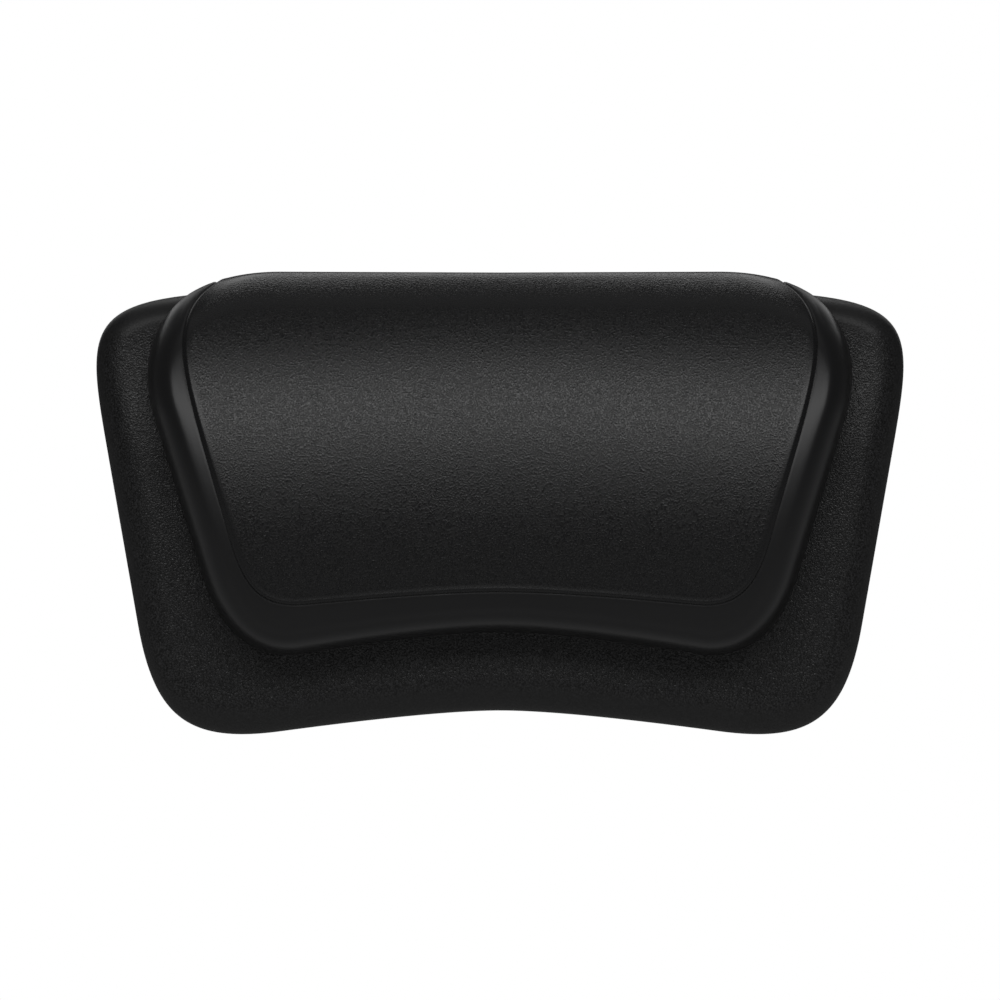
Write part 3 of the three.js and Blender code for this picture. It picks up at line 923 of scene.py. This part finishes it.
rail = add_node(
    turned,
    "GeometryNodeCurvePrimitiveCircle",
    {"mode": "RADIUS"},
    {"Resolution": given["Facets"], "Radius": given["Rail Radius"]},
)
upright = add_node(turned, "GeometryNodeSetCurveNormal", {"mode": "Z_UP"}, {"Curve": rail.outputs["Curve"]})
spun = add_node(
    turned,
    "GeometryNodeCurveToMesh",
    {},
    {"Curve": upright.outputs["Curve"], "Profile Curve": rounded.outputs["Curve"]},
)
closed = add_node(
    turned,
    "GeometryNodeMergeByDistance",
    {},
    {"Geometry": spun.outputs["Mesh"], "Distance": joining_distance},
)

# The tab grows out of the rim: points of the rim within its width move out to its rounded outline,
# and lift from the wall as they go.
point = add_node(turned, "GeometryNodeInputPosition", {}, {}).outputs["Position"]
axes = add_node(turned, "ShaderNodeSeparateXYZ", {}, {"Vector": point}).outputs
tongue = add_node(turned, "GeometryNodeInputNamedAttribute", {"data_type": "FLOAT"}, {"Name": "tongue"})
square = add_node(turned, "ShaderNodeMath", {"operation": "MULTIPLY"}, {0: axes["X"], 1: axes["X"]})
half = given["Tab Half Width"]
half_square = add_node(turned, "ShaderNodeMath", {"operation": "MULTIPLY"}, {0: half, 1: half})
rest = add_node(
    turned, "ShaderNodeMath", {"operation": "SUBTRACT"}, {0: half_square.outputs[0], 1: square.outputs[0]}
)
within = add_node(turned, "ShaderNodeMath", {"operation": "GREATER_THAN"}, {0: rest.outputs[0], 1: 0.0})
bow = add_node(turned, "ShaderNodeMath", {"operation": "SQRT"}, {0: rest.outputs[0]})
reach = add_node(
    turned, "ShaderNodeMath", {"operation": "ADD"}, {0: bow.outputs[0], 1: given["Tab Centre"]}
)
low_side = add_node(turned, "ShaderNodeMath", {"operation": "GREATER_THAN"}, {0: axes["Y"], 1: 0.0})
in_tab = add_node(
    turned, "ShaderNodeMath", {"operation": "MULTIPLY"}, {0: within.outputs[0], 1: low_side.outputs[0]}
)
chosen = add_node(
    turned,
    "ShaderNodeMath",
    {"operation": "MULTIPLY"},
    {0: in_tab.outputs[0], 1: tongue.outputs["Attribute"]},
)
way = add_node(turned, "ShaderNodeMath", {"operation": "SUBTRACT"}, {0: reach.outputs[0], 1: axes["Y"]})
move = add_node(
    turned, "ShaderNodeMath", {"operation": "MULTIPLY"}, {0: way.outputs[0], 1: chosen.outputs[0]}
)
lift = add_node(
    turned, "ShaderNodeMath", {"operation": "MULTIPLY"}, {0: move.outputs[0], 1: given["Tab Lift"]}
)
drop = add_node(turned, "ShaderNodeMath", {"operation": "MULTIPLY"}, {0: lift.outputs[0], 1: -1.0})
offset = add_node(turned, "ShaderNodeCombineXYZ", {}, {"Y": move.outputs[0], "Z": drop.outputs[0]})
tabbed = add_node(
    turned,
    "GeometryNodeSetPosition",
    {},
    {"Geometry": closed.outputs["Geometry"], "Offset": offset.outputs["Vector"]},
)
seated = add_node(
    turned,
    "GeometryNodeTransform",
    {},
    {
        "Geometry": tabbed.outputs["Geometry"],
        "Translation": given["Place"],
        "Rotation": (-math.pi / 2, 0.0, 0.0),
    },
)
real = add_node(turned, "GeometryNodeRealizeInstances", {}, {"Geometry": seated.outputs["Geometry"]})
painted = add_node(
    turned,
    "GeometryNodeSetMaterial",
    {},
    {"Geometry": real.outputs["Geometry"], "Material": given["Material"]},
)
add_node(turned, "NodeGroupOutput", {}, {"Geometry": painted.outputs["Geometry"]})


def turned_piece(name, profile, seat, values):
    """A turned part at a seat, from its profile of radius, depth, fillet and share in the tab."""
    mesh = bpy.data.meshes.new(name)
    corners = [(radius - rail_radius, depth, 0.0) for radius, depth, _, _ in profile]
    mesh.from_pydata(corners, [(i, i + 1) for i in range(len(profile) - 1)], [])
    for label, column in (("fillet", 2), ("tongue", 3)):
        layer = mesh.attributes.new(label, "FLOAT", "POINT")
        layer.data.foreach_set("value", [float(row[column]) for row in profile])
    piece = bpy.data.objects.new(name, mesh)
    bpy.context.collection.objects.link(piece)
    modifier = piece.modifiers.new("turned", "NODES")
    modifier.node_group = turned
    values = {"Rail Radius": rail_radius, "Place": (seat[0], 0.0, seat[1]), **values}
    for label, value in values.items():
        modifier[sizes[label]] = value
    made = bpy.data.meshes.new_from_object(piece.evaluated_get(bpy.context.evaluated_depsgraph_get()))
    piece.modifiers.clear()
    piece.data = made
    made.shade_smooth()
    made.set_sharp_from_angle(angle=turned_crease_angle)
    return piece


# Moulded elastomer looks dark grey and dull, with patches of faint bloom on its surface.
elastomer, tree, shader = new_material(
    "moulded_elastomer", grommet_colour, grommet_roughness, elastomer_ior
)
where = add_node(tree, "ShaderNodeTexCoord", {}, {}).outputs["Object"]
bloom = add_node(tree, "ShaderNodeTexNoise", {}, {"Vector": where, "Scale": 1 / bloom_width, "Detail": 3.0})
glossy, dull = grommet_roughness_range
gloss = add_node(
    tree, "ShaderNodeMapRange", {}, {"Value": bloom.outputs["Fac"], "To Min": glossy, "To Max": dull}
)
tree.links.new(gloss.outputs["Result"], shader.inputs["Roughness"])

grommet_profile = [
    (0.0, 0.0206, 0.0, 0),
    (0.0071, 0.0206, 0.0006, 0),
    (0.0071, 0.0140, 0.0003, 0),
    (0.0048, 0.0140, 0.0005, 0),
    (0.0048, 0.0105, 0.0006, 0),
    (0.0120, 0.0105, 0.0005, 0),
    (0.0120, 0.0117, 0.0004, 0),
    (0.0088, 0.0117, 0.0002, 0),
    (0.0088, 0.0169, 0.0002, 0),
    (0.0111, 0.0169, 0.0002, 0),
    (0.0088, 0.0184, 0.0002, 0),
    (0.0088, bush_end, 0.0006, 0),
    (0.0, bush_end, 0.0, 0),
]
for place, seat in zip(places, seats):
    grommet = turned_piece(
        f"grommet_{place}", grommet_profile, seat, {"Facets": grommet_facets, "Material": elastomer}
    )
    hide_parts(f"socket_bush_{place}")
    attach(grommet, f"bush_{place}")


# Suction cups: plasticised vinyl, moulded in one piece: a thin bell with a double sealing lip, a tab on
# its rim to break the seal, and a knob that presses into its grommet.
cup_colour = "#eef3f4"
cup_roughness = 0.07
cup_roughness_range = (0.04, 0.13)
haze_width = 1 / 120
vinyl_ior = 1.53
cup_facets = 240
tab_half_width = 0.0045
tab_centre = 0.027
tab_lift_share = 0.1

# Clear plasticised vinyl looks like cool soft glass, with patches of haze where it has been handled.
vinyl, tree, shader = new_material("clear_plasticised_vinyl", cup_colour, cup_roughness, vinyl_ior)
shader.inputs["Transmission Weight"].default_value = 1.0
where = add_node(tree, "ShaderNodeTexCoord", {}, {}).outputs["Object"]
haze = add_node(tree, "ShaderNodeTexNoise", {}, {"Vector": where, "Scale": 1 / haze_width, "Detail": 3.0})
glossy, dull = cup_roughness_range
gloss = add_node(
    tree, "ShaderNodeMapRange", {}, {"Value": haze.outputs["Fac"], "To Min": glossy, "To Max": dull}
)
tree.links.new(gloss.outputs["Result"], shader.inputs["Roughness"])

cup_profile = [
    (0.0, 0.0055, 0.0, 0),
    (0.0080, 0.0055, 0.0040, 0),
    (0.0150, 0.0037, 0.0100, 0),
    (0.0220, 0.0, 0.0006, 0),
    (0.0231, 0.0, 0.0002, 0),
    (0.0235, 0.0003, 0.0002, 0),
    (0.0239, 0.0, 0.0002, 0),
    (0.0250, 0.0, 0.0002, 1),
    (0.0250, 0.0009, 0.0004, 1),
    (0.0222, 0.0020, 0.0030, 0),
    (0.0150, 0.0058, 0.0100, 0),
    (0.0080, 0.0072, 0.0012, 0),
    (0.0080, 0.0102, 0.0005, 0),
    (0.0045, 0.0102, 0.0006, 0),
    (0.0045, 0.0143, 0.0006, 0),
    (0.0065, 0.0143, 0.0006, 0),
    (0.0065, 0.0183, 0.0012, 0),
    (0.0045, 0.0203, 0.0012, 0),
    (0.0, 0.0203, 0.0, 0),
]
cup_values = {
    "Facets": cup_facets,
    "Tab Half Width": tab_half_width,
    "Tab Centre": tab_centre,
    "Tab Lift": tab_lift_share,
    "Material": vinyl,
}
for place, seat in zip(places, seats):
    cup = turned_piece(f"clear_cup_{place}", cup_profile, seat, cup_values)
    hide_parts(f"suction_cup_{place}")
    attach(cup, f"cup_{place}")


# Studio: a pale floor well below the pillow, soft lamps round it, and a white surround that the camera
# sees and that shows through the clear cups. Glossy rays see only a small share of it: the pillow has
# no metal, and white reflections would grey its black skins.
floor_height = -0.35
floor_half = 2.5
white = "#ffffff"
paper_colour = "#f4f4f2"
paper_in_gloss_colour = "#848484"
paper_roughness = 0.9
paper_ior = 1.5
paper_glow = 0.42
surround_light = 0.6
surround_in_gloss = 0.05

floor_mesh = bpy.data.meshes.new("studio_floor")
floor_corners = [
    (-floor_half, -floor_half, floor_height),
    (floor_half, -floor_half, floor_height),
    (floor_half, floor_half, floor_height),
    (-floor_half, floor_half, floor_height),
]
floor_mesh.from_pydata(floor_corners, [], [(0, 1, 2, 3)])
floor = bpy.data.objects.new("studio_floor", floor_mesh)
bpy.context.collection.objects.link(floor)

# White paper looks plain and matte. The camera sees a glow on it too, which makes it white while the
# lamps stay low.
paper, tree, shader = new_material("white_paper", paper_colour, paper_roughness, paper_ior)
light_path = add_node(tree, "ShaderNodeLightPath", {}, {}).outputs
shade = add_node(
    tree,
    "ShaderNodeMix",
    {"data_type": "RGBA"},
    {"Factor": light_path["Is Glossy Ray"], "A": linear(paper_colour), "B": linear(paper_in_gloss_colour)},
)
tree.links.new(shade.outputs["Result"], shader.inputs["Base Color"])
shader.inputs["Emission Color"].default_value = linear(white)
glow = add_node(
    tree, "ShaderNodeMath", {"operation": "MULTIPLY"}, {0: light_path["Is Camera Ray"], 1: paper_glow}
)
tree.links.new(glow.outputs[0], shader.inputs["Emission Strength"])
floor_mesh.materials.append(paper)

world = bpy.data.worlds.new("studio")
world.use_nodes = True
bpy.context.scene.world = world
tree = world.node_tree
background = tree.nodes["Background"]
background.inputs["Color"].default_value = linear(white)
light_path = add_node(tree, "ShaderNodeLightPath", {}, {}).outputs
plain = add_node(
    tree,
    "ShaderNodeMapRange",
    {},
    {"Value": light_path["Is Glossy Ray"], "To Min": surround_light, "To Max": surround_in_gloss},
)
seen = add_node(
    tree,
    "ShaderNodeMath",
    {"operation": "MAXIMUM"},
    {0: light_path["Is Camera Ray"], 1: light_path["Is Transmission Ray"]},
)
level = add_node(
    tree, "ShaderNodeMath", {"operation": "MAXIMUM"}, {0: plain.outputs["Result"], 1: seen.outputs[0]}
)
tree.links.new(level.outputs[0], background.inputs["Strength"])


def soft_lamp(name, azimuth, elevation, distance, width, height, radiance):
    """A rectangular lamp aimed at the pillow, from an azimuth round from its front and an elevation, in
    degrees."""
    azimuth, elevation = math.radians(azimuth), math.radians(elevation)
    data = bpy.data.lights.new(name, "AREA")
    data.shape = "RECTANGLE"
    data.size = width
    data.size_y = height
    data.energy = radiance * math.pi * width * height
    lamp = bpy.data.objects.new(name, data)
    bpy.context.collection.objects.link(lamp)
    level = math.cos(elevation) * distance
    lamp.location = (math.sin(azimuth) * level, -math.cos(azimuth) * level, math.sin(elevation) * distance)
    lamp.rotation_euler = (math.pi / 2 - elevation, 0.0, azimuth)
    lamp.visible_camera = False


soft_lamp("key_softbox", azimuth=0, elevation=24, distance=1.6, width=2.0, height=0.32, radiance=3.2)
soft_lamp("top_softbox", azimuth=0, elevation=118, distance=1.4, width=0.8, height=0.5, radiance=2.2)
soft_lamp("overhead_fill", azimuth=0, elevation=72, distance=1.4, width=1.8, height=0.9, radiance=0.17)
soft_lamp("left_softbox", azimuth=-149, elevation=25, distance=1.4, width=0.5, height=1.0, radiance=0.65)
soft_lamp("right_softbox", azimuth=149, elevation=25, distance=1.4, width=0.5, height=1.0, radiance=0.65)

# The camera looks straight at the front through a long lens. Its picture has a fixed size of pixel at
# the depth of the seam between the roll and the base, and the origin lies on one of its rows.
pixel = 0.00038505
picture_middle = 500.0
origin_row = 502.3
seam_depth = 0.03
lens = 1000.0
sensor = 36.0
farthest_seen = 100.0

camera_data = bpy.data.cameras.new("camera")
camera_data.lens = lens
camera_data.sensor_width = sensor
camera_data.clip_end = farthest_seen
camera = bpy.data.objects.new("camera", camera_data)
bpy.context.collection.objects.link(camera)
frame_width = 2 * picture_middle * pixel
camera.location = (0.0, -(seam_depth + frame_width * lens / sensor), (origin_row - picture_middle) * pixel)
camera.rotation_euler = (math.pi / 2, 0.0, 0.0)
bpy.context.scene.camera = camera
bpy.context.scene.view_settings.view_transform = "Standard"
